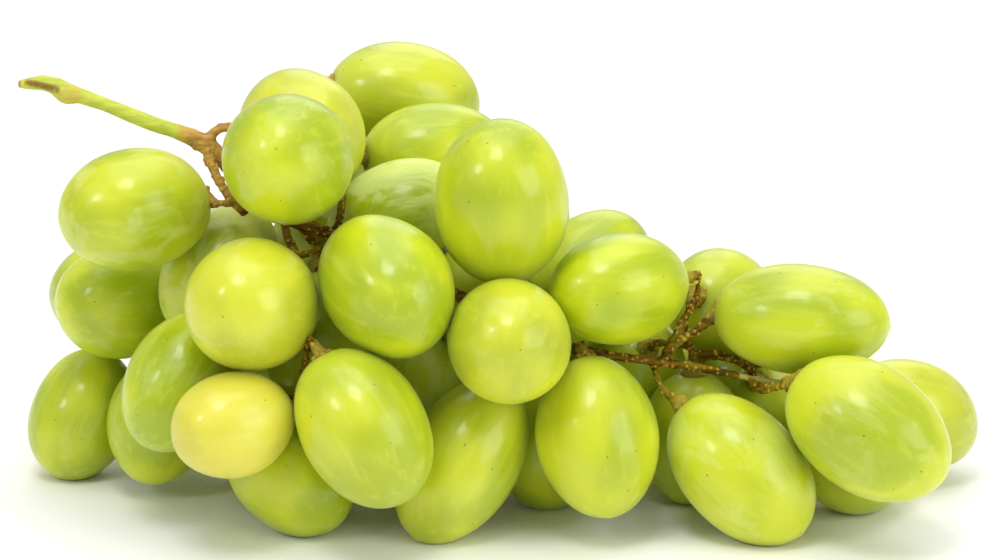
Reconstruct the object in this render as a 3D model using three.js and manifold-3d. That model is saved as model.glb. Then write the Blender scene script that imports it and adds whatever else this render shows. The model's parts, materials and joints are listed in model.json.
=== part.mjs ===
// A bunch of white table grapes, picked and lying on its side on a table.
// One woody stem carries the berries: a green stalk with a knot near its cut end, a main stem, side branches
// and a short stalk for each berry. Every berry is a solid of its own.
// Millimetres, +X to the right along the bunch, +Y away from the eye, +Z up. The origin is on the table,
// under the middle of the bunch.
import * as THREE from "three";
import { mergeVertices } from "three/addons/utils/BufferGeometryUtils.js";
import Module from "manifold-3d";

const wasm = await Module();
wasm.setup();

// The bunch is laid out as an eye in front of it sees it. A place is across, up and back, measured from a
// point in the middle of the bunch, with across and up as they look at that point's distance.
const EYE_ELEVATION = 15; // degrees above the table
const EYE_DISTANCE = 600;
const MIDDLE_HEIGHT = 34.8; // of that point above the table

// Berries. Each one has its middle, its length and width, and where its tip points: right, up, to the eye.
// via is the way of its stalk where that shows, from the branch that it grows on to the berry.
const BERRIES = [
  // Left shoulder
  {
    at: [-56.9, 10.9, -10],
    size: [23.2, 19.0],
    tip: [-0.93, -0.15, 0.3],
    via: [[-40.8, 12.0, -8], [-44.1, 11.9, -10]],
  },
  { at: [-58.2, -3.4, 8], size: [21.5, 18.0], tip: [-0.85, -0.1, 0.5] },
  { at: [-60.2, -2.0, 27], size: [21.5, 18.0], tip: [-0.8, 0.0, -0.5] },
  { at: [-65.0, -20.9, 16.0], size: [21.6, 16.6], tip: [-0.35, -0.9, 0.2] },
  { at: [-52.4, -21.5, 8.0], size: [20.5, 16.2], tip: [-0.15, -0.9, 0.3] },
  { at: [-50.0, -15.2, -8], size: [22.5, 16.8], tip: [-0.4, -0.85, 0.3] },
  { at: [-41.7, -22.0, -24], size: [19.2, 15.9], tip: [-0.85, -0.25, 0.5] },
  { at: [-36.9, -5.3, -22], size: [23.2, 20.0], tip: [-0.3, -0.15, 0.95] },
  { at: [-41.0, 0.4, 3], size: [22.8, 16.8], tip: [-0.5, -0.75, 0.35] },
  // Top
  { at: [-32.9, 19.3, -19], size: [22.0, 20.0], tip: [-0.1, 0.1, 0.99] },
  { at: [-29.9, 21.8, 4], size: [23.0, 19.6], tip: [-0.45, 0.5, -0.7] },
  { at: [-14.8, 27.4, 25], size: [25.0, 18.2], tip: [0.93, -0.15, -0.25] },
  { at: [-11.6, 19.8, 11], size: [23.4, 16.8], tip: [0.95, 0.05, -0.3] },
  { at: [-16.0, 9.4, 0], size: [23.0, 16.6], tip: [0.92, 0.3, 0.1] },
  { at: [0.3, 12.2, -20], size: [25.2, 20.5], tip: [-0.05, 0.93, 0.35] },
  // Middle
  {
    at: [-18.3, -1.6, -23],
    size: [25.0, 19.7],
    tip: [0.45, -0.55, 0.7],
    via: [[-34.2, 9.7, -6], [-33.3, 6.6, -8], [-31.7, 3.8, -11], [-29.2, 4.6, -13.5]],
  },
  { at: [1.4, -9.6, -25], size: [21.0, 18.6], tip: [0.15, -0.1, 0.98] },
  { at: [17.5, -3.4, -13], size: [22.4, 17.2], tip: [-0.85, -0.12, 0.5] },
  { at: [10.6, 2.2, 6], size: [22.0, 17.0], tip: [0.7, 0.5, -0.5] },
  // Lower front
  { at: [-22.2, -21.8, -26], size: [25.2, 19.0], tip: [0.5, -0.85, 0.15] },
  { at: [-32.8, -29.2, -11], size: [22.6, 17.8], tip: [0.6, -0.6, 0.3] },
  { at: [-6.4, -27.2, -11.5], size: [27.0, 17.8], tip: [-0.5, -0.85, 0.15] },
  { at: [15.5, -21.8, -13.5], size: [24.6, 18.8], tip: [0.15, -0.97, 0.2] },
  { at: [7.6, -26.4, -3], size: [21.5, 17.0], tip: [0.1, -0.9, -0.2] },
  // Right end
  {
    at: [38.0, -27.6, -12.5],
    size: [26.2, 18.6],
    tip: [0.66, -0.72, 0.2],
    via: [[23.6, -12.6, -10], [23.7, -14.7, -11], [25.3, -16.9, -12.5]],
  },
  {
    at: [56.7, -23.6, -22],
    size: [27.0, 19.3],
    tip: [0.78, -0.55, 0.3],
    via: [[38.8, -15.5, -9], [39.8, -17.3, -11], [41.9, -17.0, -13.5]],
  },
  {
    at: [46.9, -6.8, -10],
    size: [26.8, 17.1],
    tip: [0.95, -0.08, 0.2],
    via: [[25.6, -11.9, -9.5], [27.0, -10.2, -9.5], [29.8, -8.6, -9]],
  },
  { at: [64.4, -21.0, 12], size: [22.5, 17.0], tip: [0.8, -0.35, -0.4] },
  {
    at: [34.5, -3.6, 7],
    size: [21.5, 17.2],
    tip: [0.43, -0.12, -0.9],
    via: [[25.9, -12.0, -9.5], [27.4, -9.2, -9], [28.9, -5.8, -7.5]],
  },
  { at: [54.6, -27.4, -3], size: [21.0, 17.4], tip: [0.5, -0.5, -0.5] },
  { at: [30.4, -25.2, 2], size: [21.0, 17.0], tip: [0.0, -0.95, -0.2] },
  // Seen only in the gaps
  { at: [21.3, -14.4, 14], size: [21.0, 17.0], tip: [-0.2, -0.3, -0.9] },
  { at: [-12.3, -16.4, 0], size: [22.0, 17.5], tip: [-0.1, -0.8, 0.2] },
  { at: [-3.4, -3.1, 3], size: [20.0, 17.0], tip: [0.1, 0.2, 0.9] },
  { at: [-31.9, 3.5, 8], size: [21.0, 17.5], tip: [-0.1, 0.1, -0.9] },
  { at: [-28.0, -10.2, -5], size: [22.0, 17.0], tip: [-0.1, -0.8, 0.3] },
  { at: [42.3, -22.7, 14], size: [21.0, 17.5], tip: [0.3, -0.6, -0.7] },
  // Back
  { at: [-31.5, 13.6, 23], size: [24.0, 18.5], tip: [-0.2, 0.2, -0.95], free: true },
  { at: [-43.6, 2.2, 25], size: [22.0, 17.5], tip: [-0.4, 0.1, -0.9] },
  { at: [-45.9, -7.8, 20], size: [23.0, 18.0], tip: [-0.4, -0.2, -0.9], free: true },
  { at: [-38.9, -24.2, 12], size: [23.5, 17.5], tip: [-0.3, -0.7, -0.5], free: true },
  { at: [-24.1, -23.4, 14], size: [24.0, 18.0], tip: [0.0, -0.7, -0.7], free: true },
  { at: [-8.4, -25.0, 16], size: [23.0, 17.5], tip: [0.1, -0.6, -0.8], free: true },
  { at: [6.4, -14.1, 22], size: [24.0, 18.5], tip: [0.1, -0.2, -0.95], free: true },
  { at: [-16.2, -3.1, 14], size: [23.0, 18.0], tip: [0.0, 0.0, -1.0], free: true },
  { at: [-16.2, 10.2, 26], size: [24.5, 18.5], tip: [0.1, 0.4, -0.9], free: true },
  { at: [1.5, 4.5, 17], size: [23.5, 18.0], tip: [0.4, 0.5, -0.7], free: true },
  { at: [13.5, -10.5, 29], size: [23.0, 18.0], tip: [0.3, 0.2, -0.9], free: true },
  { at: [37.5, -15.5, 24], size: [23.0, 17.8], tip: [0.5, 0.3, -0.8], free: true },
  { at: [30.6, -23.4, 24], size: [23.5, 17.8], tip: [0.1, -0.5, -0.8], free: true },
];

// Stalk, main stem and the two side branches that show. Each point is across, up, back and radius.
const STALK = [
  [-75.3, 30.6, -10, 0.6],
  [-74.1, 30.6, -10, 0.85],
  [-72.1, 30.8, -10, 1.2],
  [-70.2, 30.7, -10, 1.35],
  [-68.2, 29.6, -10, 1.65],
  [-66.5, 29.1, -10, 1.35],
  [-62.2, 27.6, -9.8, 1.12],
  [-58.2, 26.0, -9.5, 1.22],
  [-54.2, 24.4, -9, 1.28],
  [-50.2, 23.1, -8.5, 1.2],
  [-47.6, 22.1, -8, 1.5],
  [-46.0, 21.2, -7.5, 1.6],
  [-44.0, 19.6, -7, 1.4],
];
const MAIN_STEM = [
  [-46.7, 21.7, -8, 1.5],
  [-44.1, 19.5, -7, 1.3],
  [-39.7, 14.8, -5, 1.25],
  [-34.2, 10.2, -5, 1.2],
  [-25.6, 6.6, -6, 1.2],
  [-16.3, 1.9, -8, 1.1],
  [-7.3, -2.0, -11, 1.05],
  [2.5, -7.0, -12, 0.95],
  [10.6, -10.5, -12, 0.85],
  [18.9, -12.0, -10, 0.75],
  [29.1, -13.4, -9, 0.68],
  [37.7, -15.0, -9, 0.58],
  [43.8, -16.1, -10, 0.45],
];
const SIDE_BRANCHES = [
  [
    [-45.9, 22.0, -8, 0.9],
    [-44.1, 23.7, -8, 0.8],
    [-41.9, 23.9, -8, 0.75],
    [-37.8, 24.2, -8, 0.75],
  ],
  [
    [-46.2, 20.9, -8, 0.85],
    [-44.4, 16.4, -9, 0.75],
    [-41.9, 12.5, -8, 0.75],
    [-39.8, 10.4, -5.5, 0.8],
  ],
];

// Berry stalks
const STALK_RADIUS = 0.62;
const ROOT_SWELL = 0.3; // how fast a berry stalk's root thickens with the number of stalks on it
const CUP_RADIUS = 1.5; // the end of a berry stalk flares into the berry
const CUP_LENGTH = 2.2;
const CUP_FLARE = 1.4; // above 1 the flare comes late
const CUP_SUNK = 0.6;
const NECK = 3.6; // straight run of a berry stalk off its berry
const SHARPEST_TURN = 1.1; // radians
const BEND_SPACING = 3.5; // of the points that a berry stalk bends through
const GROWS_ON = 2.2; // a stalk that starts this near another grows on it
const GAP = 0.3; // between pieces
const FACET_ALLOWANCE = 1.5; // a thicker stem clears the facets of the stem inside it

// Settling
const ROUNDS = 260;
const HOLD = 0.06; // of the way back to its own place that a berry goes in the first round
const FREE_HOLD = 0.015; // the same for one that doesn't show
const SIDE_GIVE = 0.4; // of a berry that shows, across the line of sight
const FREE_GIVE = 1.5; // of a berry that doesn't show
const BERRY_PUSH = 0.5; // of a crossing that a round takes out, between berries
const NECK_PUSH = 0.4; // between a berry and the end of another's stalk
const STEM_PUSH = 0.7; // between a berry and the main stem
const TABLE_DIP = 0.35; // how far a berry that rests on the table is pressed flat
const TABLE_REACH = 1.5; // a berry this near the table is let down on it
const STEM_ROOM = 1.6; // kept free round the main stem
const NECK_ROOM = 0.9; // and round the end of each berry stalk
const STEM_POSTS = 60; // places along the main stem that keep it free

// Ways of the berry stalks
const CELL = 1.5;
const EDGE = 8; // of the space round the berries' middles
const CLEAR = 1.6; // a way this far off the berries costs nothing more
const CLOSE_PRICE = 5; // and one that comes nearer costs this times the shortfall squared
const EASINGS = 4;

// Facets
const BERRY_SIDES = 11;
const BERRY_RINGS = 8;
const STEM_SIDES = 8;
const TWIG_SIDES = 6;
const STALK_STEP = 2; // length of a facet along each kind of stem
const MAIN_STEP = 4;
const SIDE_STEP = 2.5;
const TWIG_STEP = 4.3;

const lift = THREE.MathUtils.degToRad(EYE_ELEVATION);
const UP = new THREE.Vector3(0, Math.sin(lift), Math.cos(lift));
const TO_EYE = new THREE.Vector3(0, -Math.cos(lift), Math.sin(lift));

// A point of the model from a place as the eye sees it.
function placed([across, up, back]) {
  const spread = 1 + back / EYE_DISTANCE;
  return new THREE.Vector3(0, 0, MIDDLE_HEIGHT)
    .addScaledVector(UP, up * spread)
    .addScaledVector(TO_EYE, -back)
    .add(new THREE.Vector3(across * spread, 0, 0));
}

function pointing([right, up, toEye]) {
  return new THREE.Vector3(right, 0, 0).addScaledVector(UP, up).addScaledVector(TO_EYE, toEye).normalize();
}

function smooth(points) {
  return new THREE.CatmullRomCurve3(points, false, "centripetal");
}

// How far a spheroid reaches from its middle towards a direction.
function reach(body, direction) {
  const along = body.axis.dot(direction);
  return Math.sqrt(body.wide ** 2 + (body.long ** 2 - body.wide ** 2) * along ** 2);
}

// The plane between two spheroids: its normal from one to the other, and the gap across it, below 0 where
// they cross. It is where both, swollen alike, would first touch.
function between(one, other) {
  const apart = other.middle.clone().sub(one.middle);
  const cross = one.axis.dot(other.axis);
  const solve = (share) => {
    const m = (1 - share) * one.wide ** 2 + share * other.wide ** 2;
    const p = (1 - share) * (one.long ** 2 - one.wide ** 2);
    const q = share * (other.long ** 2 - other.wide ** 2);
    const r1 = one.axis.dot(apart);
    const r2 = other.axis.dot(apart);
    const det = (m + p) * (m + q) - p * q * cross * cross;
    const a1 = (r1 * (m + q) - q * cross * r2) / det;
    const a2 = (r2 * (m + p) - p * cross * r1) / det;
    const pulled = apart.clone().addScaledVector(one.axis, -p * a1).addScaledVector(other.axis, -q * a2);
    return pulled.divideScalar(m);
  };
  const value = (share) => share * (1 - share) * apart.dot(solve(share));
  let low = 0;
  let high = 1;
  for (let step = 0; step < 14; step++) {
    const left = low + (high - low) / 3;
    const right = high - (high - low) / 3;
    if (value(left) < value(right)) low = left;
    else high = right;
  }
  const normal = solve((low + high) / 2).normalize();
  return { normal, gap: normal.dot(apart) - reach(one, normal) - reach(other, normal) };
}

// Moves the berries apart until none crosses another, the main stem or the table. Each is held near its own
// place, less and less, and gives way along the line of sight more easily than across it.
function settle(berries, stem) {
  const posts = stem.getSpacedPoints(STEM_POSTS).map((middle) => ({
    middle,
    axis: new THREE.Vector3(1, 0, 0),
    long: STEM_ROOM,
    wide: STEM_ROOM,
  }));
  const push = (berry, direction, amount) => {
    const sight = direction.dot(TO_EYE);
    const across = direction.clone().addScaledVector(TO_EYE, -sight);
    const give = berry.free ? FREE_GIVE : 1;
    berry.middle.addScaledVector(TO_EYE, sight * amount * give);
    berry.middle.addScaledVector(across, amount * (berry.free ? give : SIDE_GIVE));
  };
  const near = (one, other) => one.middle.distanceTo(other.middle) < one.long + other.long + 1;
  const neck = { middle: new THREE.Vector3(), axis: new THREE.Vector3(), long: NECK / 2, wide: NECK_ROOM };
  const TABLE_NORMAL = new THREE.Vector3(0, 0, 1);
  for (let round = 0; round < ROUNDS; round++) {
    const left = 1 - round / ROUNDS;
    berries.forEach((one, i) => {
      one.middle.lerp(one.home, left * (one.free ? FREE_HOLD : HOLD));
      for (const other of berries.slice(i + 1)) {
        if (!near(one, other)) continue;
        const { normal, gap } = between(one, other);
        if (gap >= 0) continue;
        push(one, normal, gap * BERRY_PUSH);
        push(other, normal, -gap * BERRY_PUSH);
      }
      for (const other of berries) {
        if (one === other) continue;
        neck.axis.copy(other.axis);
        neck.middle.copy(other.middle).addScaledVector(other.axis, -other.long - neck.long);
        if (!near(one, neck)) continue;
        const { normal, gap } = between(one, neck);
        if (gap >= 0) continue;
        push(one, normal, gap * NECK_PUSH);
        push(other, normal, -gap * NECK_PUSH);
      }
      for (const post of posts) {
        if (!near(one, post)) continue;
        const { normal, gap } = between(one, post);
        if (gap < 0) push(one, normal, gap * STEM_PUSH);
      }
      const low = one.middle.z - reach(one, TABLE_NORMAL);
      if (low < -TABLE_DIP) one.middle.z -= low + TABLE_DIP;
    });
  }
  for (const berry of berries) {
    const low = berry.middle.z - reach(berry, TABLE_NORMAL);
    if (low < TABLE_REACH) berry.middle.z -= low + TABLE_DIP;
  }
}

const AROUND = [-1, 0, 1]
  .flatMap((dz) => [-1, 0, 1].flatMap((dy) => [-1, 0, 1].map((dx) => [dx, dy, dz])))
  .filter((offset) => offset.some((d) => d !== 0));

// Free space among the berries as a grid, and the cheapest ways through it from the stems already grown.
class Ways {
  constructor(berries) {
    const box = new THREE.Box3();
    for (const b of berries) box.expandByPoint(b.middle);
    box.expandByScalar(EDGE);
    this.low = box.min;
    this.n = box.max.clone().sub(box.min).divideScalar(CELL).ceil().toArray().map((v) => v + 1);
    const count = this.n[0] * this.n[1] * this.n[2];
    this.price = new Float64Array(count);
    this.cost = new Float64Array(count).fill(Infinity);
    this.from = new Int32Array(count).fill(-1);
    const point = new THREE.Vector3();
    for (let i = 0; i < count; i++) {
      this.pointOf(i, point);
      let clear = CLEAR;
      for (const b of berries) clear = Math.min(clear, clearance(b, point));
      this.price[i] = 1 + CLOSE_PRICE * (CLEAR - clear) ** 2;
    }
    this.heap = [];
  }
  pointOf(i, into = new THREE.Vector3()) {
    const [nx, ny] = this.n;
    return into
      .set(i % nx, Math.floor(i / nx) % ny, Math.floor(i / (nx * ny)))
      .multiplyScalar(CELL)
      .add(this.low);
  }
  indexOf(point) {
    const [x, y, z] = point.clone().sub(this.low).divideScalar(CELL).round().toArray();
    const inside = (v, n) => THREE.MathUtils.clamp(v, 0, n - 1);
    return inside(x, this.n[0]) + this.n[0] * (inside(y, this.n[1]) + this.n[1] * inside(z, this.n[2]));
  }
  lay(i, cost, from) {
    if (cost >= this.cost[i]) return;
    this.cost[i] = cost;
    this.from[i] = from;
    const heap = this.heap;
    let at = heap.push([cost, i]) - 1;
    while (at > 0) {
      const above = (at - 1) >> 1;
      if (heap[above][0] <= heap[at][0]) break;
      [heap[above], heap[at]] = [heap[at], heap[above]];
      at = above;
    }
  }
  cheapest() {
    const heap = this.heap;
    const top = heap[0];
    const last = heap.pop();
    if (heap.length) {
      heap[0] = last;
      for (let at = 0; ; ) {
        let least = at;
        for (const child of [2 * at + 1, 2 * at + 2])
          if (child < heap.length && heap[child][0] < heap[least][0]) least = child;
        if (least === at) break;
        [heap[least], heap[at]] = [heap[at], heap[least]];
        at = least;
      }
    }
    return top;
  }
  // Takes points as grown stems, and spreads the cost of reaching every cell out from them.
  grow(points) {
    for (const p of points) this.lay(this.indexOf(p), 0, -1);
    while (this.heap.length) {
      const [cost, i] = this.cheapest();
      if (cost > this.cost[i]) continue;
      for (const [j, step] of this.neighbours(i)) {
        this.lay(j, cost + (step * (this.price[i] + this.price[j])) / 2, i);
      }
    }
  }
  // The cells round one, each with how far away it is.
  neighbours(i) {
    const [nx, ny, nz] = this.n;
    const x = i % nx;
    const y = Math.floor(i / nx) % ny;
    const z = Math.floor(i / (nx * ny));
    const within = (v, n) => v >= 0 && v < n;
    const inGrid = ([dx, dy, dz]) => within(x + dx, nx) && within(y + dy, ny) && within(z + dz, nz);
    const indexAt = ([dx, dy, dz]) => i + dx + nx * (dy + ny * dz);
    return AROUND.filter(inGrid).map((offset) => [indexAt(offset), Math.hypot(...offset)]);
  }
  // The way from the grown stems to a point, as points from the stem outwards.
  wayTo(point) {
    const way = [];
    for (let i = this.indexOf(point); i >= 0; i = this.from[i]) way.push(this.pointOf(i));
    return way.reverse();
  }
}

// About how far a point lies outside a spheroid, below 0 inside it.
function clearance(body, point) {
  const x = point.x - body.middle.x;
  const y = point.y - body.middle.y;
  const z = point.z - body.middle.z;
  const far = x * x + y * y + z * z;
  const along = x * body.axis.x + y * body.axis.y + z * body.axis.z;
  const level = Math.sqrt((along / body.long) ** 2 + Math.max(0, far - along * along) / body.wide ** 2);
  return level < 1e-6 ? -body.wide : Math.sqrt(far) * (1 - 1 / level);
}

// A closed solid from its surface.
function solid(geometry) {
  const bare = geometry.clone();
  bare.deleteAttribute("normal");
  bare.deleteAttribute("uv");
  const merged = mergeVertices(bare, 1e-4);
  return new wasm.Manifold(
    new wasm.Mesh({
      numProp: 3,
      vertProperties: new Float32Array(merged.attributes.position.array),
      triVerts: new Uint32Array(merged.index.array),
    }),
  );
}

function geometryOf(manifold) {
  const mesh = manifold.getMesh();
  const places = new Float32Array(mesh.numVert * 3);
  for (let i = 0; i < mesh.numVert; i++)
    places.set(mesh.vertProperties.subarray(i * mesh.numProp, i * mesh.numProp + 3), i * 3);
  const geometry = new THREE.BufferGeometry();
  geometry.setAttribute("position", new THREE.BufferAttribute(places, 3));
  geometry.setIndex(new THREE.BufferAttribute(new Uint32Array(mesh.triVerts), 1));
  geometry.computeVertexNormals();
  return geometry;
}

// A cylinder bent along a curve. radius gives its radius at a distance from the curve's start. extra makes
// it larger all round.
function limb(curve, radius, sides, step, extra) {
  const length = curve.getLength();
  const steps = Math.max(2, Math.round(length / step));
  const frames = curve.computeFrenetFrames(steps, false);
  const geometry = new THREE.CylinderGeometry(1, 1, 1, sides, steps);
  const position = geometry.attributes.position;
  const point = new THREE.Vector3();
  for (let i = 0; i < position.count; i++) {
    point.fromBufferAttribute(position, i);
    const ring = Math.round((point.y + 0.5) * steps);
    const share = ring / steps;
    const r = radius(share * length, length) + extra * FACET_ALLOWANCE;
    const [x, z] = [point.x * r, point.z * r];
    const end = ring === 0 ? -extra : ring === steps ? extra : 0;
    point
      .copy(curve.getPointAt(share))
      .addScaledVector(frames.tangents[ring], end)
      .addScaledVector(frames.normals[ring], x)
      .addScaledVector(frames.binormals[ring], -z);
    position.setXYZ(i, point.x, point.y, point.z);
  }
  const made = solid(geometry);
  return made.volume() < 0 ? solid(turned(geometry)) : made;
}

// The same geometry with its faces turned to the other side.
function turned(geometry) {
  const index = geometry.index.array;
  for (let i = 0; i < index.length; i += 3) [index[i + 1], index[i + 2]] = [index[i + 2], index[i + 1]];
  return geometry;
}

// A stem whose points carry their radius, thicker by extra.
function taperedStem(points, extra, step) {
  const curve = smooth(points.map(placed));
  const last = points.length - 1;
  const radius = (distance, length) => {
    const share = curve.getUtoTmapping(0, THREE.MathUtils.clamp(distance, 0, length)) * last;
    const first = Math.min(Math.floor(share), last - 1);
    return THREE.MathUtils.lerp(points[first][3], points[first + 1][3], share - first);
  };
  return limb(curve, radius, STEM_SIDES, step, extra);
}

// A berry stalk, from the branch that carries it to its flared end, thicker by extra.
function berryStalk(twig, extra) {
  const radius = (distance, length) => {
    const toRoot = Math.max(0, 1 - distance / Math.max(length - NECK, 1));
    const toCup = THREE.MathUtils.clamp(1 - (length - distance) / CUP_LENGTH, 0, 1);
    const flare = (CUP_RADIUS - STALK_RADIUS) * toCup ** CUP_FLARE;
    return STALK_RADIUS + (twig.root - STALK_RADIUS) * toRoot + flare;
  };
  return limb(smooth(twig.points), radius, TWIG_SIDES, TWIG_STEP, extra);
}

// Points of a way that are far enough apart for a smooth curve.
function thinned(points, apart) {
  const kept = [points[0]];
  for (const p of points.slice(1, -1)) if (p.distanceTo(kept.at(-1)) > apart) kept.push(p);
  return [...kept, points.at(-1)];
}

// One round of averaging takes the steps of the grid out of a way.
function eased(points) {
  return points.map((p, i) =>
    i === 0 || i === points.length - 1
      ? p.clone()
      : p.clone().multiplyScalar(2).add(points[i - 1]).add(points[i + 1]).divideScalar(4),
  );
}

// The same points without those at which the way turns sharply. The last two hold the berry and stay.
function unkinked(points) {
  const turn = (i) => {
    const before = points[i].clone().sub(points[i - 1]);
    return before.angleTo(points[i + 1].clone().sub(points[i]));
  };
  for (let i = 1; i < points.length - 1; i++) {
    if (turn(i) < SHARPEST_TURN) continue;
    const dropped = i < points.length - 2 ? i : i - 1;
    if (dropped > 0) return unkinked(points.filter((_, k) => k !== dropped));
  }
  return points;
}

// Grows a stalk to every berry from the nearest stem, between the other berries.
function growStalks(berries, stems) {
  const ways = new Ways(berries);
  const grown = stems.flatMap((s) => s.getSpacedPoints(80));
  ways.grow(grown);
  const twigs = [];
  const add = (berry, way) => {
    const start = grown.reduce((a, b) => (a.distanceTo(way[0]) < b.distanceTo(way[0]) ? a : b));
    const end = berry.middle.clone().addScaledVector(berry.axis, CUP_SUNK - berry.long);
    const points = unkinked([start, ...way.slice(1), end]);
    twigs.push({ berry, points, root: STALK_RADIUS });
    const fresh = smooth(points.slice(0, -1)).getSpacedPoints(20);
    grown.push(...fresh);
    ways.grow(fresh);
  };
  const neckOf = (berry) => berry.middle.clone().addScaledVector(berry.axis, -berry.long - NECK);
  for (const berry of berries.filter((b) => b.via)) add(berry, berry.via.map(placed));
  const rest = berries.filter((b) => !b.via);
  while (rest.length) {
    rest.sort((a, b) => ways.cost[ways.indexOf(neckOf(a))] - ways.cost[ways.indexOf(neckOf(b))]);
    const berry = rest.shift();
    let way = ways.wayTo(neckOf(berry));
    for (let i = 0; i < EASINGS; i++) way = eased(way);
    add(berry, thinned(way, BEND_SPACING));
  }
  // A twig is thicker at its root where others grow on it.
  for (const twig of twigs) {
    const starts = twigs.filter((t) => t !== twig).map((t) => t.points[0]);
    const bends = twig.points.slice(1, -1);
    const carried = starts.filter((start) => bends.some((p) => p.distanceTo(start) < GROWS_ON));
    twig.root = STALK_RADIUS * (1 + carried.length) ** ROOT_SWELL;
  }
  return twigs;
}

// A berry's closed surface, a spheroid turned round its axis, with its stem end at -Y.
function berryGeometry(berry) {
  const profile = [];
  for (let ring = 0; ring <= BERRY_RINGS; ring++) {
    const turn = -Math.PI / 2 + (Math.PI * ring) / BERRY_RINGS;
    const onAxis = ring === 0 || ring === BERRY_RINGS;
    profile.push(new THREE.Vector2(onAxis ? 0 : berry.wide * Math.cos(turn), berry.long * Math.sin(turn)));
  }
  const geometry = new THREE.LatheGeometry(profile, BERRY_SIDES);
  geometry.applyQuaternion(new THREE.Quaternion().setFromUnitVectors(new THREE.Vector3(0, 1, 0), berry.axis));
  return geometry.translate(berry.middle.x, berry.middle.y, berry.middle.z);
}

function vectorOf(v) {
  return [v.x, v.y, v.z];
}

// Berries that press on each other or on the table are flat there.
function pressed(berries) {
  const solids = berries.map((b) => solid(berryGeometry(b)));
  berries.forEach((one, i) => {
    berries.slice(i + 1).forEach((other, k) => {
      const j = i + 1 + k;
      if (one.middle.distanceTo(other.middle) > one.long + other.long + GAP) return;
      const { normal, gap } = between(one, other);
      if (gap > GAP) return;
      const near = one.middle.dot(normal) + reach(one, normal);
      const far = other.middle.dot(normal) - reach(other, normal);
      const mid = (near + far) / 2;
      solids[i] = solids[i].trimByPlane(vectorOf(normal.clone().negate()), -(mid - GAP / 2));
      solids[j] = solids[j].trimByPlane(vectorOf(normal), mid + GAP / 2);
    });
    solids[i] = solids[i].trimByPlane([0, 0, 1], 0);
  });
  return solids;
}

const berries = BERRIES.map((row) => ({
  middle: placed(row.at),
  home: placed(row.at),
  axis: pointing(row.tip),
  long: row.size[0] / 2,
  wide: row.size[1] / 2,
  via: row.via,
  free: row.free,
}));
const mainStem = smooth(MAIN_STEM.map(placed));
settle(berries, mainStem);
const twigs = growStalks(berries, [mainStem, ...SIDE_BRANCHES.map((b) => smooth(b.map(placed)))]);

// The whole stem as one solid, or thicker by extra to make room for it in the berries.
function stemSolid(extra) {
  const limbs = [
    taperedStem(STALK, extra, STALK_STEP),
    taperedStem(MAIN_STEM, extra, MAIN_STEP),
    ...SIDE_BRANCHES.map((b) => taperedStem(b, extra, SIDE_STEP)),
    ...twigs.map((t) => berryStalk(t, extra)),
  ];
  return wasm.Manifold.union(limbs);
}

const stemMaterial = new THREE.MeshStandardMaterial({ color: 0x6b4a1e, roughness: 0.8, metalness: 0 });
const berryMaterial = new THREE.MeshStandardMaterial({ color: 0xb6cf2e, roughness: 0.32, metalness: 0 });

const bunch = new THREE.Group();

function add(name, manifold, material) {
  const mesh = new THREE.Mesh(geometryOf(manifold), material);
  mesh.name = name;
  bunch.add(mesh);
}

const stem = stemSolid(0);
const room = stemSolid(GAP).add(stem);
add("stem", stem, stemMaterial);
pressed(berries).forEach((berry, i) => {
  const cut = berry.subtract(room);
  const [largest] = cut.decompose().sort((a, b) => b.volume() - a.volume());
  add("berry_" + String(i + 1).padStart(2, "0"), largest, berryMaterial);
});

// The origin comes under the middle of the bunch.
const middle = new THREE.Box3().setFromObject(bunch).getCenter(new THREE.Vector3());
for (const mesh of bunch.children) mesh.geometry.translate(-middle.x, -middle.y, 0);

export default bunch;
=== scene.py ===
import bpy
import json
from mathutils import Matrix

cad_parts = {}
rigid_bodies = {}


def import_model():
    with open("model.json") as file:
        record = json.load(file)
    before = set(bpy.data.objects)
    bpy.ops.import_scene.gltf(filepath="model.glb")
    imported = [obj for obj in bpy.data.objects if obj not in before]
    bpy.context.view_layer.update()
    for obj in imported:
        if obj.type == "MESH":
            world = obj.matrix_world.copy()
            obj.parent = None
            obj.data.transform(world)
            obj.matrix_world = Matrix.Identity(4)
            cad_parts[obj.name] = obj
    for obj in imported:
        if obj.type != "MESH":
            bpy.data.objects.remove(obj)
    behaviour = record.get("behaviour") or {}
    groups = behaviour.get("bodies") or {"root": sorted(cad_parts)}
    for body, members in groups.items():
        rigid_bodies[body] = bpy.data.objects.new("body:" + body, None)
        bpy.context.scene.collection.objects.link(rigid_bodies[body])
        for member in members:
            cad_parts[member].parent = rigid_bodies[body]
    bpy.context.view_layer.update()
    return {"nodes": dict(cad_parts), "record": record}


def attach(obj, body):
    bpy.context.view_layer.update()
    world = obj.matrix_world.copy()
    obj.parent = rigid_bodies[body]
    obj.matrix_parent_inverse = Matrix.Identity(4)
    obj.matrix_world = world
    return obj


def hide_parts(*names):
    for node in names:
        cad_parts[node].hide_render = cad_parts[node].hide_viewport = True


bl_info = {
    "name": "Bunch of grapes",
    "version": (1, 0, 0),
    "blender": (4, 5, 0),
    "location": "3D View > Sidebar > Grapes",
    "description": "A bunch of white table grapes lying on its side, with its stem and a plain studio",
    "category": "Object",
}

import json
import math
import random

import bpy
from mathutils import Matrix, Vector, noise

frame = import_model()
nodes = frame["nodes"]

MM = 0.001
SEED = 20
FULL_TURN = 6.28

# Where the eye is: how high above the table, how far away, and the point that it looks at
EYE_ELEVATION = math.radians(15)
EYE_DISTANCE = 0.6
EYE_POINT = Vector((0.0003, -0.0027, 0.0348))
EYE_LENS = 137.14
EYE_SENSOR = 36
EYE_NEAREST = 0.01

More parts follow.
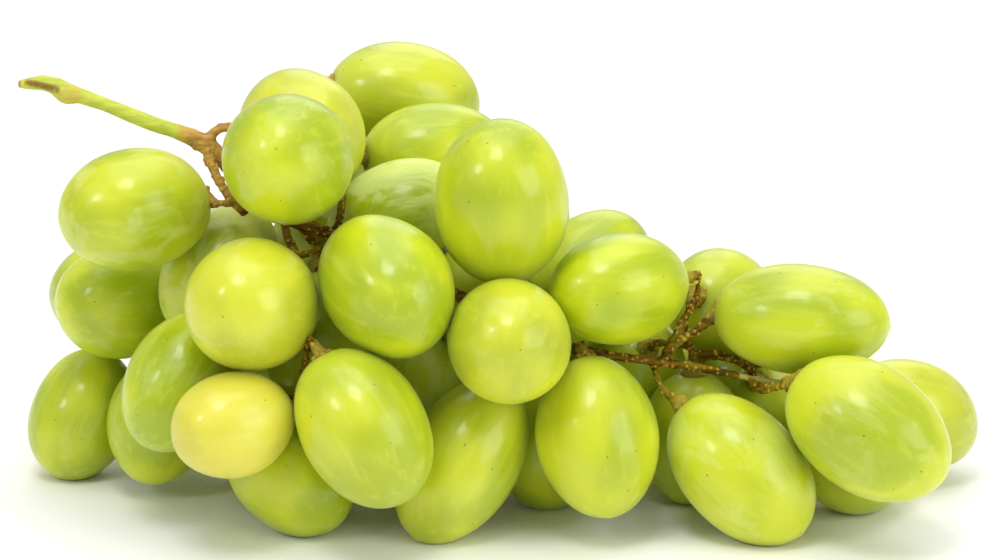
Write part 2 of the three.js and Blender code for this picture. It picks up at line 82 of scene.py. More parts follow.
# The lights: where each hangs, how wide it is, and its power as a share of the studio's
LIGHTS = {
    "softbox": ((-0.1, -0.38, 0.82), 0.26, 0.6),
    "side_light": ((-0.6, -0.5, 0.55), 0.16, 0.3),
    "window_light": ((0.7, -0.55, 0.42), 0.6, 0.9),
    "ceiling": ((0.0, 0.1, 0.9), 0.8, 1.05),
    "back_light": ((0.1, 0.8, 0.6), 0.6, 0.4),
}
LIT_POINT = Vector((0, 0, 0.03))
FLOOR_WIDTH = 6

# Berries that are riper than the rest, from 0, green, to 1, yellow, and how ripe any other can be
RIPE = {
    "berry_07": 0.9,
    "berry_08": 0.34,
    "berry_11": 0.34,
    "berry_12": 0.2,
    "berry_17": 0.25,
    "berry_28": 0.3,
}
RIPEST_OTHER = 0.14
# Berries with a dusty bloom on their skin, and how dusty any other can be
DUSTY = {
    "berry_01": 0.5,
    "berry_06": 0.3,
    "berry_09": 0.8,
    "berry_14": 0.9,
    "berry_25": 0.4,
    "berry_33": 0.6,
}
DUSTIEST_OTHER = 0.3

# The modelled berry has radius 1. Its hollow and its tip's point fade out over these widths.
BERRY_SEGMENTS = 56
BERRY_RINGS = 38
POLE_REACH = 1e-4
HOLLOW_WIDTH = 0.3
TIP_RISE = 0.012
TIP_WIDTH = 0.12
# How uneven a berry is, as a share of its radius, and how close its swells are
UNEVENNESS = 0.03
SWELLS = 1.1
# Each berry takes its pattern from its own part of a space this wide.
PATTERN_SPACE = 40
LOWEST_SKIN = 0.02 * MM

# A berry's solid is cut flat where it is pressed, so its skin is found this far up its corners, which are
# sorted from the innermost to the outermost.
SKIN_SHARE = 0.8
# A solid ellipsoid's spread along an axis is its half length squared, over this.
ELLIPSOID_SPREAD = 5
AXIS_START = Vector((0.31, 0.52, 0.79))
AXIS_STEPS = 200

# The stalk is green up to its node and brown from there, measured along the bunch. It lies above the rest.
GREEN_ENDS_AT = -0.0500
BROWN_STARTS_AT = -0.0465
STALK_LOWEST = 0.0545
STALK_BLEND = 0.002
NODE = Vector((-0.0465, -0.0047, 0.0575))
# The stalk's dried cut end, the bulge of the knot near it, and a dried groove along its side
CUT_ENDS_AT = -0.0738
CUT_BLEND = 0.0006
KNOT = Vector((-0.0672, -0.0058, 0.0643))
GROOVE = (Vector((-0.0729, -0.0056, 0.0670)), Vector((-0.0683, -0.0060, 0.0659)))
# The main stem's broken end is pale.
PALE_END = (Vector((0.0371, -0.0153, 0.0228)), Vector((0.0428, -0.0165, 0.0221)))

# Reaches on the stem, in millimetres: each mark fades in from the first distance to the second.
OCHRE_REACH = (16.0, 6.4)
NODE_BLUSH_REACH = (6.5, 2.0)
KNOT_BLUSH_REACH = (4.0, 1.0)
KNOT_SWELL_REACH = (2.6, 0.6)
GROOVE_REACH = (1.1, 0.1)
PALE_REACH = (1.1, 0.5)
COLLAR_REACH = (2.6, 1.6)
# The knot blushes this much as strongly as the node.
KNOT_BLUSH = 0.5

# The bark's relief, in millimetres, and how many swells each kind has in a metre
COARSE_LUMP = 0.16
COARSE_LUMPS = 500
FINE_LUMP = 0.10
FINE_LUMPS = 1500
RIDGE = 0.06
RIDGES_ALONG = 90
RIDGES_ACROSS = 1000
WART = 0.34
KNOT_SWELL = 0.45
# The green stalk has this share of the brown bark's lumps.
STALK_LUMPS = 0.2
# A wart's slope in its cell of a pattern, and which cells are picked to carry one
WART_SLOPE = (0.5, 0.12)
WART_PICK_SCALE = 7.3
WART_PICK_ABOVE = -0.25

# The ring that each berry sits on, and how far past the berry's end its middle lies
COLLAR_SEGMENTS = 20
COLLAR_SIDES = 8
COLLAR_SINK = 0.35 * MM
# Corners of the stem's solid this close are one. How strongly and how often the melted stem is eased
MERGE_REACH = 0.01 * MM
EASE_SHARE = 0.5
EASE_ROUNDS = 4


# Selection and small steps


def deselect_all():
    if bpy.context.mode != "OBJECT":
        bpy.ops.object.mode_set(mode="OBJECT")
    bpy.ops.object.select_all(action="DESELECT")


def select_only(obj):
    deselect_all()
    obj.hide_set(False)
    obj.select_set(True)
    bpy.context.view_layer.objects.active = obj


def copy_with_own_mesh(obj, name):
    twin = obj.copy()
    twin.data = obj.data.copy()
    twin.name = name
    twin.data.name = name
    twin.parent = None
    bpy.context.collection.objects.link(twin)
    return twin


def place_in_mesh(obj, matrix):
    """Moves the mesh itself, so that the object stays at the origin."""
    obj.matrix_world = matrix
    select_only(obj)
    bpy.ops.object.transform_apply(location=True, rotation=True, scale=True)


def add_float(mesh, name, values):
    attribute = mesh.attributes.new(name, "FLOAT", "POINT")
    attribute.data.foreach_set("value", values)


def add_vector(mesh, name, values):
    attribute = mesh.attributes.new(name, "FLOAT_VECTOR", "POINT")
    attribute.data.foreach_set("vector", [x for value in values for x in value])


def smoothstep(start, end, value):
    """Goes from 0 at the start to 1 at the end, which may be the smaller of the two."""
    share = min(max((value - start) / (end - start), 0.0), 1.0)
    return share * share * (3 - 2 * share)


def off_point(place, point):
    return (place - point).length / MM


def off_line(place, start, end):
    """How far a place is from the line between two others, in millimetres."""
    way = end - start
    share = min(max((place - start).dot(way) / way.length_squared, 0.0), 1.0)
    return off_point(place, start + way * share)


def finish_piece(obj, material, node):
    obj.data.materials.clear()
    obj.data.materials.append(material)
    select_only(obj)
    bpy.ops.object.shade_smooth()
    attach(obj, "root")
    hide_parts(node)


# Materials


class Shader:
    """A material's nodes, added one after another."""

    # The sockets of a colour mix
    MIX_SHARE = 0
    MIX_A = 6
    MIX_B = 7
    MIX_RESULT = 2

    def __init__(self, name):
        self.material = bpy.data.materials.new(name)
        self.material.use_nodes = True
        self.tree = self.material.node_tree
        self.skin = self.tree.nodes["Principled BSDF"]

    def add(self, kind, inputs=None, **settings):
        node = self.tree.nodes.new(kind)
        for key, value in settings.items():
            setattr(node, key, value)
        for key, value in (inputs or {}).items():
            self.feed(node.inputs[key], value)
        return node

    def feed(self, socket, value):
        if isinstance(value, bpy.types.NodeSocket):
            self.tree.links.new(value, socket)
        else:
            socket.default_value = value

    def attribute(self, name, output="Fac"):
        return self.add("ShaderNodeAttribute", attribute_name=name).outputs[output]

    def objects(self):
        return self.add("ShaderNodeTexCoord").outputs["Object"]

    def math(self, operation, a, b):
        return self.add("ShaderNodeMath", {0: a, 1: b}, operation=operation).outputs[0]

    def stretched(self, vector, scale):
        return self.add("ShaderNodeMapping", {"Vector": vector, "Scale": scale}).outputs[0]

    def clouds(self, vector, scale, detail=3.0, rough=0.5, distort=0.0):
        look = {"Scale": scale, "Detail": detail, "Roughness": rough, "Distortion": distort}
        return self.add("ShaderNodeTexNoise", {"Vector": vector, **look}).outputs["Fac"]

    def cells(self, vector, scale):
        """How far a place is from the middle of its cell, and a number that is drawn for the cell."""
        cells = self.add("ShaderNodeTexVoronoi", {"Vector": vector, "Scale": scale})
        drawn = self.add("ShaderNodeSeparateColor", {0: cells.outputs["Color"]}).outputs[0]
        return cells.outputs["Distance"], drawn

    def between(self, value, low, high, to_low=0.0, to_high=1.0):
        inputs = {"Value": value, "From Min": low, "From Max": high, "To Min": to_low, "To Max": to_high}
        return self.add("ShaderNodeMapRange", inputs, interpolation_type="SMOOTHSTEP").outputs[0]

    def mix(self, share, a, b, blend="MIX"):
        node = self.add("ShaderNodeMix", data_type="RGBA", blend_type=blend)
        self.feed(node.inputs[self.MIX_SHARE], share)
        self.feed(node.inputs[self.MIX_A], a)
        self.feed(node.inputs[self.MIX_B], b)
        return node.outputs[self.MIX_RESULT]

    def bump(self, height, strength, distance):
        inputs = {"Height": height, "Strength": strength, "Distance": distance}
        return self.add("ShaderNodeBump", inputs).outputs[0]


def with_alpha(color, share=1.0):
    """A colour, or a darker share of it, with the fourth value that a socket takes."""
    return (color[0] * share, color[1] * share, color[2] * share, 1.0)


def grape_skin(name, settings):
    """Taut translucent skin. own is the place on a berry of radius 1, its stem end at Z -1. wander is the
    same, moved by another amount on each berry, so that no two have the same pattern."""
    s = Shader(name)
    own = s.attribute("own", "Vector")
    wander = s.attribute("wander", "Vector")
    ripe = s.attribute("ripe")
    dusty = s.attribute("dusty")
    along = s.add("ShaderNodeSeparateXYZ", {0: own}).outputs["Z"]

    broad = s.between(s.clouds(wander, 0.9, detail=1.0), 0.36, 0.64)
    green = s.mix(broad, with_alpha(settings.deep_green), with_alpha(settings.light_green))
    yellow = s.mix(broad, with_alpha(settings.yellow, 0.9), with_alpha(settings.yellow))
    color = s.mix(ripe, green, yellow)

    # Pale veins run under the skin from the stem end to the tip.
    lengthwise = s.stretched(wander, (4.4, 4.4, 0.6))
    veins = s.between(s.clouds(lengthwise, 1.5, rough=0.55), 0.48, 0.72)
    color = s.mix(s.math("MULTIPLY", veins, settings.veins), color, with_alpha(settings.pale_vein))

    # A berry is paler at the stem end, and has a brown scar at its tip.
    color = s.mix(s.between(along, -0.3, -1.0, 0.0, 0.45), color, with_alpha(settings.pale_vein))
    scar = s.between(along, 0.9988, 0.9996)
    color = s.mix(s.math("MULTIPLY", scar, 0.6), color, with_alpha(settings.speck))

    # A few brown specks
    off_speck, drawn = s.cells(wander, 4.6)
    speck = s.math("MULTIPLY", s.between(off_speck, 0.1, 0.045), s.math("GREATER_THAN", drawn, 0.66))
    color = s.mix(s.math("MULTIPLY", speck, 0.8), color, with_alpha(settings.speck))

    # Whitish bloom lies in rubbed patches with broken edges.
    rubbed = s.clouds(s.stretched(wander, (1.0, 1.0, 0.75)), 1.5, detail=5.0, rough=0.66, distort=0.5)
    rubbed = s.math("ADD", rubbed, s.math("MULTIPLY", dusty, 0.16))
    bloom = s.math("MULTIPLY", s.between(rubbed, 0.56, 0.66), dusty)
    color = s.mix(s.math("MULTIPLY", bloom, settings.bloom), color, with_alpha(settings.bloom_color))

    fine = s.clouds(wander, 26.0, detail=1.0)
    rough = s.math("ADD", s.math("MULTIPLY", bloom, 0.35), s.between(fine, 0.3, 0.7, 0.3, 0.38))
    dents = s.clouds(wander, 2.6, detail=1.0)
    height = s.math("ADD", dents, s.math("MULTIPLY", s.math("ADD", veins, fine), 0.035))
    s.feed(s.skin.inputs["Base Color"], color)
    s.feed(s.skin.inputs["Roughness"], rough)
    s.feed(s.skin.inputs["Normal"], s.bump(height, 0.25, 1.2 * MM))
    s.skin.inputs["IOR"].default_value = 1.47
    s.skin.inputs["Subsurface Weight"].default_value = 0.75
    s.skin.inputs["Subsurface Radius"].default_value = (1.0, 0.9, 0.12)
    s.skin.inputs["Subsurface Scale"].default_value = 4.5 * MM
    s.skin.inputs["Coat Weight"].default_value = 0.3
    s.skin.inputs["Coat Roughness"].default_value = 0.12
    s.skin.inputs["Sheen Weight"].default_value = 0.06
    s.skin.inputs["Sheen Roughness"].default_value = 0.35
    return s.material


def stem_bark(settings):
    """Green on the stalk, brown and warty on the rest. bark is 0 on the stalk and 1 from its node on, and the
    other attributes say where each mark of the stem lies."""
    s = Shader("stem_bark")
    place = s.objects()
    patches = s.clouds(place, 300.0, detail=4.0, rough=0.6)
    streaks = s.clouds(s.stretched(place, (0.12, 1.0, 1.0)), 1300.0, rough=0.6)

    # The green stalk, blushed with ochre at its node and knot
    stalk = with_alpha(settings.stalk_green)
    green = s.mix(s.between(streaks, 0.35, 0.65), with_alpha(settings.stalk_green, 0.78), stalk)
    blush = s.math("ADD", s.attribute("blush"), s.between(patches, 0.3, 0.7, -0.3, 0.3))
    blush = s.math("MULTIPLY", s.between(blush, 0.25, 0.85), 0.8)
    green = s.mix(blush, green, with_alpha(settings.node_ochre))

    # Brown bark, olive in places, ochre next to the node, yellowish at the collars and pale at the broken end
    dark = with_alpha(settings.stem_dark)
    brown = s.mix(s.between(streaks, 0.35, 0.68), dark, with_alpha(settings.stem_brown))
    olive = s.between(s.clouds(place, 130.0, detail=2.0), 0.5, 0.68, 0.0, 0.7)
    brown = s.mix(olive, brown, with_alpha(settings.stem_olive))
    dark_ochre = with_alpha(settings.node_ochre, 0.6)
    ochre = s.mix(s.between(streaks, 0.3, 0.7), dark_ochre, with_alpha(settings.node_ochre))
    brown = s.mix(s.attribute("ochre"), brown, ochre)
    brown = s.mix(s.math("MULTIPLY", s.attribute("collar"), 0.55), brown, with_alpha(settings.collar_yellow))
    brown = s.mix(s.between(s.attribute("pale"), 0.2, 0.8), brown, with_alpha(settings.pale_end))

    # Fine golden warts stand closest where a stalk meets its berry.
    off_wart, drawn = s.cells(place, settings.warts_per_metre * 1.6)
    closeness = s.math("ADD", drawn, s.math("MULTIPLY", s.attribute("warty"), 0.75))
    small = s.math("MULTIPLY", s.between(off_wart, 0.42, 0.26), s.between(closeness, 0.98, 1.02))
    wart = s.math("MAXIMUM", small, s.between(s.attribute("wart"), 0.35, 0.75))
    brown = s.mix(s.math("MULTIPLY", wart, 0.85), brown, with_alpha(settings.wart_gold))

    # Bark, cut end and groove have ragged edges.
    ragged = s.math("ADD", s.attribute("bark"), s.between(patches, 0.3, 0.7, -0.25, 0.25))
    color = s.mix(s.between(ragged, 0.3, 0.7), green, brown)
    cut = s.math("ADD", s.attribute("cut"), s.between(patches, 0.3, 0.7, -0.2, 0.2))
    color = s.mix(s.between(cut, 0.35, 0.75), color, with_alpha(settings.cut_brown))
    groove = s.math("MULTIPLY", s.attribute("groove"), s.between(patches, 0.25, 0.6, 0.35, 1.0))
    color = s.mix(s.between(groove, 0.1, 0.9), color, with_alpha(settings.groove_brown))

    height = s.math("ADD", s.math("ADD", streaks, patches), s.math("MULTIPLY", small, s.attribute("bark")))
    s.feed(s.skin.inputs["Base Color"], color)
    s.feed(s.skin.inputs["Roughness"], s.between(streaks, 0.3, 0.7, 0.45, 0.7))
    s.feed(s.skin.inputs["Normal"], s.bump(height, 0.6, 0.3 * MM))
    s.skin.inputs["Specular IOR Level"].default_value = 0.12
    s.skin.inputs["Subsurface Weight"].default_value = 0.1
    s.skin.inputs["Subsurface Radius"].default_value = (1.0, 0.7, 0.2)
    s.skin.inputs["Subsurface Scale"].default_value = 1 * MM
    return s.material


def plain_floor(settings):
    s = Shader("plain_floor")
    tone = s.between(s.clouds(s.objects(), 9.0), 0.3, 0.7, 0.985, 1.0)
    grey = s.add("ShaderNodeCombineColor", {0: tone, 1: tone, 2: tone}).outputs[0]
    s.feed(s.skin.inputs["Base Color"], s.mix(1.0, with_alpha(settings.floor), grey, "MULTIPLY"))
    s.skin.inputs["Roughness"].default_value = 0.6
    return s.material


# Berries


def middle_and_spread(mesh):
    """A solid's middle and how its volume spreads about it, added up over tetrahedra from the origin."""
    corners = [Vector(v.co) for v in mesh.vertices]
    volume = 0.0
    middle = Vector((0, 0, 0))
    spread = [[0.0] * 3 for _ in range(3)]
    mesh.calc_loop_triangles()
    for triangle in mesh.loop_triangles:
        a, b, c = (corners[i] for i in triangle.vertices)
        part = a.dot(b.cross(c)) / 6
        volume += part
        middle += part * (a + b + c) / 4
        for i in range(3):
            for k in range(3):
                own = a[i] * a[k] + b[i] * b[k] + c[i] * c[k]
                across = (a[i] + b[i] + c[i]) * (a[k] + b[k] + c[k])
                spread[i][k] += part * (own + across) / 20
    middle /= volume
    rows = [[spread[i][k] / volume - middle[i] * middle[k] for k in range(3)] for i in range(3)]
    return middle, Matrix(rows)


def longest_way(spread):
    """The way in which a spread is longest. Each step turns the start closer to it."""
    way = AXIS_START
    for _ in range(AXIS_STEPS):
        way = (spread @ way).normalized()
    return way


class BerryForm:
    """A berry's middle, its way from stem end to tip, and its half length and half width, from its solid."""

    def __init__(self, mesh, stem_points):
        middle, spread = middle_and_spread(mesh)
        axis = longest_way(spread)
        long_part = axis.dot(spread @ axis)
        wide_part = (spread[0][0] + spread[1][1] + spread[2][2] - long_part) / 2
        half_long = math.sqrt(ELLIPSOID_SPREAD * long_part)
        half_wide = math.sqrt(ELLIPSOID_SPREAD * wide_part)

        def level(point):
            """1 on the ellipsoid of the same spread, more outside it and less inside."""
            off = point - middle
            straight = off.dot(axis)
            return math.sqrt((straight / half_long) ** 2 + (off.length_squared - straight**2) / half_wide**2)

        levels = sorted(level(Vector(v.co)) for v in mesh.vertices)
        size = levels[int(len(levels) * SKIN_SHARE)]
        self.middle = middle
        self.half_long = half_long * size
        self.half_wide = half_wide * size
        ends = [middle + axis * self.half_long * way for way in (1, -1)]
        reach = [min((p - end).length_squared for p in stem_points) for end in ends]
        self.axis = axis if reach[1] < reach[0] else -axis

    def stem_end(self):
        return self.middle - self.axis * self.half_long

    def matrix(self, turn):
        across = self.axis.orthogonal().normalized()
        upright = Matrix((across, self.axis.cross(across), self.axis)).transposed().to_4x4()
        size = Matrix.Diagonal((self.half_wide, self.half_wide, self.half_long, 1))
        return Matrix.Translation(self.middle) @ upright @ Matrix.Rotation(turn, 4, "Z") @ size


def berry_forms():
    stem_points = [Vector(v.co) for v in nodes["stem"].data.vertices]
    berries = {name: node for name, node in nodes.items() if name.startswith("berry_")}
    return {name: BerryForm(node.data, stem_points) for name, node in berries.items()}


def pull_pole(berry, height, move, width):
    """Moves the pole at a height along Z, and what lies within a width of it with it, less and less."""
    bpy.ops.mesh.select_all(action="DESELECT")
    bpy.ops.object.mode_set(mode="OBJECT")
    for vertex in berry.data.vertices:
        vertex.select = abs(vertex.co.z - height) < POLE_REACH
    bpy.ops.object.mode_set(mode="EDIT")
    bpy.ops.transform.translate(
        value=(0, 0, move),
        use_proportional_edit=True,
        proportional_edit_falloff="SMOOTH",
        proportional_size=width,
    )


def model_berry(settings):
    """One berry of radius 1, its stem end at Z -1, a little hollow there and a little pointed at the tip."""
    deselect_all()
    bpy.ops.mesh.primitive_uv_sphere_add(segments=BERRY_SEGMENTS, ring_count=BERRY_RINGS, radius=1)
    berry = bpy.context.object
    berry.name = "berry_model"
    bpy.ops.object.mode_set(mode="EDIT")
    pull_pole(berry, -1, settings.hollow, HOLLOW_WIDTH)
    pull_pole(berry, 1, TIP_RISE, TIP_WIDTH)
    bpy.ops.object.mode_set(mode="OBJECT")
    return berry


def grow_berry(model, name, form, chance):
    """A copy of the modelled berry at one berry's size and place, a little uneven and kept off the floor."""
    number = name.removeprefix("berry_")
    berry = copy_with_own_mesh(model, "grape_" + number)
    mesh = berry.data
    offset = Vector([chance.uniform(0, PATTERN_SPACE) for _ in range(3)])
    own = [Vector(v.co) for v in mesh.vertices]
    add_vector(mesh, "own", [v.normalized() for v in own])
    add_vector(mesh, "wander", [v.normalized() + offset for v in own])
    add_float(mesh, "ripe", [RIPE.get(name, chance.uniform(0, RIPEST_OTHER))] * len(own))
    add_float(mesh, "dusty", [DUSTY.get(name, chance.uniform(0, DUSTIEST_OTHER))] * len(own))
    for vertex, place in zip(mesh.vertices, own):
        vertex.co = place * (1 + UNEVENNESS * noise.noise(place * SWELLS + offset))
    place_in_mesh(berry, form.matrix(chance.uniform(0, FULL_TURN)))
    for vertex in mesh.vertices:
        vertex.co.z = max(vertex.co.z, LOWEST_SKIN)
    return berry


# Stem


def merged_stem():
    """A copy of the stem's solid, its loose triangles merged."""
    stem = copy_with_own_mesh(nodes["stem"], "stem_bark")
    stem.matrix_world = Matrix.Identity(4)
    select_only(stem)
    bpy.ops.object.mode_set(mode="EDIT")
    bpy.ops.mesh.select_all(action="SELECT")
    bpy.ops.mesh.remove_doubles(threshold=MERGE_REACH)
    bpy.ops.mesh.normals_make_consistent(inside=False)
    bpy.ops.object.mode_set(mode="OBJECT")
    return stem


def berry_collar(settings, form):
    """The ring that a berry sits on at the end of its stalk."""
    deselect_all()
    bpy.ops.mesh.primitive_torus_add(
        major_segments=COLLAR_SEGMENTS,
        minor_segments=COLLAR_SIDES,
        major_radius=settings.collar_radius,
        minor_radius=settings.collar_thickness,
    )
    collar = bpy.context.object
    turn = form.axis.to_track_quat("Z", "Y").to_matrix().to_4x4()
    place_in_mesh(collar, Matrix.Translation(form.stem_end() + form.axis * COLLAR_SINK) @ turn)
    return collar


def melt_together(settings, stem, collars):
    """Joins the collars to the stem and melts them into one grown form with eased corners."""
    deselect_all()
    for collar in collars:
        collar.select_set(True)
    stem.select_set(True)
    bpy.context.view_layer.objects.active = stem
    bpy.ops.object.join()
    melt = stem.modifiers.new("melt", "REMESH")
    melt.mode = "VOXEL"
    melt.voxel_size = settings.stem_grain
    bpy.ops.object.modifier_apply(modifier=melt.name)
    ease = stem.modifiers.new("ease", "SMOOTH")
    ease.factor = EASE_SHARE
    ease.iterations = EASE_ROUNDS
    bpy.ops.object.modifier_apply(modifier=ease.name)


def bark_traits(settings, place, berry_ends):
    """What the stem is like at a place, each trait from 0 to 1. The green stalk has no bark."""
    along = smoothstep(GREEN_ENDS_AT, BROWN_STARTS_AT, place.x)
    bark = max(along, 1 - smoothstep(STALK_LOWEST - STALK_BLEND, STALK_LOWEST, place.z))
    off_berry = min((place - end).length for end in berry_ends)
    off_node = off_point(place, NODE)
    warty = bark * smoothstep(settings.warts_reach, settings.warts_reach / 2, off_berry)
    distances, centres = noise.voronoi(place * settings.warts_per_metre)
    picked = noise.cell(centres[0] * WART_PICK_SCALE) > WART_PICK_ABOVE
    knot_blush = KNOT_BLUSH * smoothstep(*KNOT_BLUSH_REACH, off_point(place, KNOT))
    return {
        "bark": bark,
        "ochre": smoothstep(*OCHRE_REACH, off_node),
        "blush": max(knot_blush, smoothstep(*NODE_BLUSH_REACH, off_node)),
        "cut": smoothstep(CUT_ENDS_AT + CUT_BLEND, CUT_ENDS_AT - CUT_BLEND, place.x),
        "groove": smoothstep(*GROOVE_REACH, off_line(place, *GROOVE)),
        "collar": smoothstep(*COLLAR_REACH, off_berry / MM),
        "wart": warty * smoothstep(*WART_SLOPE, distances[0]) * picked,
        "warty": warty,
        "pale": smoothstep(*PALE_REACH, off_line(place, *PALE_END)),
    }


def relief(place, traits):
    """How far the bark stands out at a place, in millimetres."""
    lump = noise.noise(place * COARSE_LUMPS) * COARSE_LUMP + noise.noise(place * FINE_LUMPS) * FINE_LUMP
    drawn_out = Vector((place.x * RIDGES_ALONG, place.y * RIDGES_ACROSS, place.z * RIDGES_ACROSS))
    ridge = noise.noise(drawn_out) * RIDGE
    swell = KNOT_SWELL * smoothstep(*KNOT_SWELL_REACH, off_point(place, KNOT))
    rough = STALK_LUMPS + (1 - STALK_LUMPS) * traits["bark"]
    return lump * rough + ridge + WART * traits["wart"] + swell


def roughen(settings, stem, berry_ends):
    """Raises the bark's relief, and keeps what each place is like as attributes for the material."""
    mesh = stem.data
    points = [(v.co.copy(), v.normal.copy()) for v in mesh.vertices]
    traits = [bark_traits(settings, place, berry_ends) for place, outward in points]
    raised = []
    for (place, outward), here in zip(points, traits):
        raised.extend(place + outward * relief(place, here) * MM)
    mesh.vertices.foreach_set("co", raised)
    mesh.update()
    for name in traits[0]:
        add_float(mesh, name, [here[name] for here in traits])


def model_stem(settings, forms):
    """The stem's solid, with a collar at each berry, melted together and roughened."""
    stem = merged_stem()
    melt_together(settings, stem, [berry_collar(settings, form) for form in forms])
    roughen(settings, stem, [form.stem_end() for form in forms])
    return stem


# Stage


def hang_light(name, place, width, power):
    light = bpy.data.lights.new(name, "AREA")
    light.shape = "SQUARE"
    light.size = width
    light.energy = power
    lamp = bpy.data.objects.new(name, light)
    lamp.location = place
    lamp.rotation_euler = (LIT_POINT - Vector(place)).to_track_quat("-Z", "Y").to_euler()
    bpy.context.scene.collection.objects.link(lamp)


def set_camera():
    camera = bpy.data.objects.new("camera", bpy.data.cameras.new("camera"))
    camera.data.lens = EYE_LENS
    camera.data.sensor_width = EYE_SENSOR
    camera.data.clip_start = EYE_NEAREST
    to_eye = Vector((0, -math.cos(EYE_ELEVATION), math.sin(EYE_ELEVATION)))
    camera.location = EYE_POINT + to_eye * EYE_DISTANCE
    camera.rotation_euler = (-to_eye).to_track_quat("-Z", "Y").to_euler()
    bpy.context.scene.collection.objects.link(camera)
    bpy.context.scene.camera = camera


# Settings that a user would change

RGB = {"size": 3, "min": 0, "max": 1}


class GrapeSettings(bpy.types.PropertyGroup):
    deep_green: bpy.props.FloatVectorProperty(
        name="Deep green", description="Skin where it is greenest", default=(0.38, 0.49, 0.003),
        subtype="COLOR", **RGB,
    )
    light_green: bpy.props.FloatVectorProperty(
        name="Light green", description="Skin where it is palest", default=(0.58, 0.66, 0.008),
        subtype="COLOR", **RGB,
    )
    yellow: bpy.props.FloatVectorProperty(
        name="Ripe yellow", description="Skin of the ripest berries", default=(0.76, 0.69, 0.08),
        subtype="COLOR", **RGB,
    )
    pale_vein: bpy.props.FloatVectorProperty(
        name="Veins", description="Veins under the skin, and the stem end", default=(0.72, 0.80, 0.08),
        subtype="COLOR", **RGB,
    )
    speck: bpy.props.FloatVectorProperty(
        name="Specks", description="Specks on the skin, and the scar at the tip", default=(0.30, 0.15, 0.02),
        subtype="COLOR", **RGB,
    )
    bloom_color: bpy.props.FloatVectorProperty(
        name="Bloom colour", description="Waxy dust on the skin", default=(0.78, 0.86, 0.42),
        subtype="COLOR", **RGB,
    )
    bloom: bpy.props.FloatProperty(
        name="Bloom", description="How strongly the waxy dust shows", default=0.42,
        min=0, max=1, subtype="FACTOR",
    )
    veins: bpy.props.FloatProperty(
        name="Vein strength", description="How strongly the veins show", default=0.25,
        min=0, max=1, subtype="FACTOR",
    )
    hollow: bpy.props.FloatProperty(
        name="Hollow", description="Depth of the hollow at the stem end, as a share of half a berry's length",
        default=0.05, min=0, max=0.2, subtype="FACTOR",
    )


class StemSettings(bpy.types.PropertyGroup):
    stalk_green: bpy.props.FloatVectorProperty(
        name="Stalk", description="Green of the cut stalk", default=(0.60, 0.66, 0.09),
        subtype="COLOR", **RGB,
    )
    cut_brown: bpy.props.FloatVectorProperty(
        name="Cut end", description="Dried end of the stalk", default=(0.45, 0.25, 0.06),
        subtype="COLOR", **RGB,
    )
    groove_brown: bpy.props.FloatVectorProperty(
        name="Groove", description="Dried groove at the cut end", default=(0.24, 0.14, 0.03),
        subtype="COLOR", **RGB,
    )
    node_ochre: bpy.props.FloatVectorProperty(
        name="Ochre", description="Bark next to the stalk's node", default=(0.62, 0.36, 0.09),
        subtype="COLOR", **RGB,
    )
    stem_brown: bpy.props.FloatVectorProperty(
        name="Stem", description="Brown of the stem", default=(0.27, 0.15, 0.004),
        subtype="COLOR", **RGB,
    )
    stem_dark: bpy.props.FloatVectorProperty(
        name="Stem shade", description="Darkest brown of the stem", default=(0.065, 0.036, 0.002),
        subtype="COLOR", **RGB,
    )
    stem_olive: bpy.props.FloatVectorProperty(
        name="Olive", description="Greenish parts of the stem", default=(0.27, 0.23, 0.010),
        subtype="COLOR", **RGB,
    )
    pale_end: bpy.props.FloatVectorProperty(
        name="Broken end", description="Pale end of the main stem", default=(0.48, 0.43, 0.12),
        subtype="COLOR", **RGB,
    )
    collar_yellow: bpy.props.FloatVectorProperty(
        name="Collars", description="Rings where the berries sit", default=(0.50, 0.42, 0.06),
        subtype="COLOR", **RGB,
    )
    wart_gold: bpy.props.FloatVectorProperty(
        name="Warts", description="Warts on the berry stalks", default=(0.62, 0.39, 0.05),
        subtype="COLOR", **RGB,
    )
    warts_per_metre: bpy.props.FloatProperty(
        name="Warts in a metre", description="How closely the warts stand", default=900, min=100, max=3000,
    )
    warts_reach: bpy.props.FloatProperty(
        name="Reach of the warts", description="How far along its stalk a berry's warts go",
        default=11 * MM, min=1 * MM, max=30 * MM, unit="LENGTH",
    )
    collar_radius: bpy.props.FloatProperty(
        name="Collar radius", description="Ring where a berry sits on its stalk",
        default=1.6 * MM, min=1 * MM, max=3 * MM, unit="LENGTH",
    )
    collar_thickness: bpy.props.FloatProperty(
        name="Collar thickness", description="Half the thickness of that ring",
        default=0.38 * MM, min=0.2 * MM, max=1 * MM, unit="LENGTH",
    )
    stem_grain: bpy.props.FloatProperty(
        name="Stem grain", description="Size of the smallest lump on the stem",
        default=0.28 * MM, min=0.25 * MM, max=1 * MM, unit="LENGTH",
    )


class StudioSettings(bpy.types.PropertyGroup):
    floor: bpy.props.FloatVectorProperty(
        name="Floor", description="Colour of the floor", default=(0.97, 0.97, 0.97),
        subtype="COLOR", **RGB,
    )
    sky: bpy.props.FloatProperty(
        name="Surrounding light", description="Strength of the light from all round", default=0.5,
        min=0, max=3,
    )
    power: bpy.props.FloatProperty(
        name="Lights", description="Power that the lights take their shares of", default=3.45,
        min=0, max=100, unit="POWER",
    )


# Operators


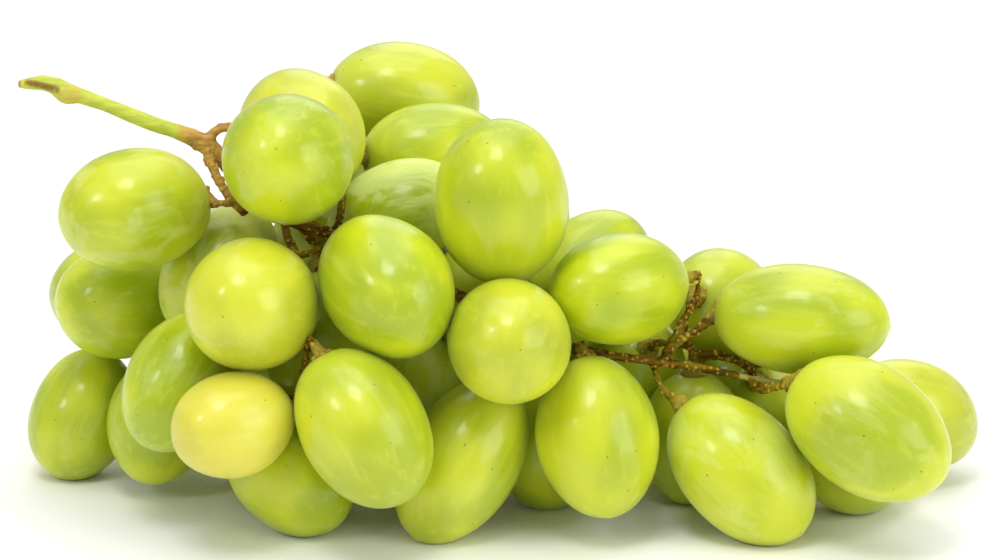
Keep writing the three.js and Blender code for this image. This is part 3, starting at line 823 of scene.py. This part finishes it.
class GRAPES_OT_stage(bpy.types.Operator):
    """Makes the stage: a plain pale floor, soft studio light and the camera"""

    bl_idname = "grapes.stage"
    bl_label = "Stage"

    def execute(self, context):
        settings = context.scene.studio_settings
        deselect_all()
        bpy.ops.mesh.primitive_plane_add(size=FLOOR_WIDTH)
        floor = context.object
        floor.name = "floor"
        floor.data.materials.append(plain_floor(settings))

        world = bpy.data.worlds.new("studio")
        world.use_nodes = True
        background = world.node_tree.nodes["Background"]
        background.inputs["Color"].default_value = (1, 1, 1, 1)
        background.inputs["Strength"].default_value = settings.sky
        context.scene.world = world
        context.scene.view_settings.view_transform = "Standard"

        for name, (place, width, share) in LIGHTS.items():
            hang_light(name, place, width, settings.power * share)
        set_camera()
        return {"FINISHED"}


class GRAPES_OT_berries(bpy.types.Operator):
    """Makes the berries: one is modelled, and each is a copy of it at its own size and place"""

    bl_idname = "grapes.berries"
    bl_label = "Berries"

    def execute(self, context):
        settings = context.scene.grape_settings
        chance = random.Random(SEED)
        skins = {slot: grape_skin(slot, settings) for slot in ("grape_green", "grape_yellow")}
        slots = {s["node"]: s["material_slot"] for s in frame["record"]["subparts"]}
        model = model_berry(settings)
        for name, form in sorted(berry_forms().items()):
            berry = grow_berry(model, name, form, chance)
            finish_piece(berry, skins[slots[name]], name)
        bpy.data.objects.remove(model)
        return {"FINISHED"}


class GRAPES_OT_stem(bpy.types.Operator):
    """Makes the stem: the stalk, the main stem, its branches and the warty berry stalks with their collars"""

    bl_idname = "grapes.stem"
    bl_label = "Stem"

    def execute(self, context):
        settings = context.scene.stem_settings
        stem = model_stem(settings, list(berry_forms().values()))
        finish_piece(stem, stem_bark(settings), "stem")
        return {"FINISHED"}


class GRAPES_PT_panel(bpy.types.Panel):
    bl_idname = "GRAPES_PT_panel"
    bl_label = "Grapes"
    bl_space_type = "VIEW_3D"
    bl_region_type = "UI"
    bl_category = "Grapes"

    def draw(self, context):
        groups = (
            (GRAPES_OT_stage, context.scene.studio_settings),
            (GRAPES_OT_berries, context.scene.grape_settings),
            (GRAPES_OT_stem, context.scene.stem_settings),
        )
        for operator, settings in groups:
            box = self.layout.box()
            for name in settings.__annotations__:
                box.prop(settings, name)
            box.operator(operator.bl_idname)


CLASSES = (
    GrapeSettings,
    StemSettings,
    StudioSettings,
    GRAPES_OT_stage,
    GRAPES_OT_berries,
    GRAPES_OT_stem,
    GRAPES_PT_panel,
)


def register():
    for kind in CLASSES:
        bpy.utils.register_class(kind)
    bpy.types.Scene.grape_settings = bpy.props.PointerProperty(type=GrapeSettings)
    bpy.types.Scene.stem_settings = bpy.props.PointerProperty(type=StemSettings)
    bpy.types.Scene.studio_settings = bpy.props.PointerProperty(type=StudioSettings)


def unregister():
    del bpy.types.Scene.studio_settings
    del bpy.types.Scene.stem_settings
    del bpy.types.Scene.grape_settings
    for kind in reversed(CLASSES):
        bpy.utils.unregister_class(kind)


def main():
    register()
    bpy.ops.grapes.stage()
    bpy.ops.grapes.berries()
    bpy.ops.grapes.stem()


if __name__ == "__main__":
    main()
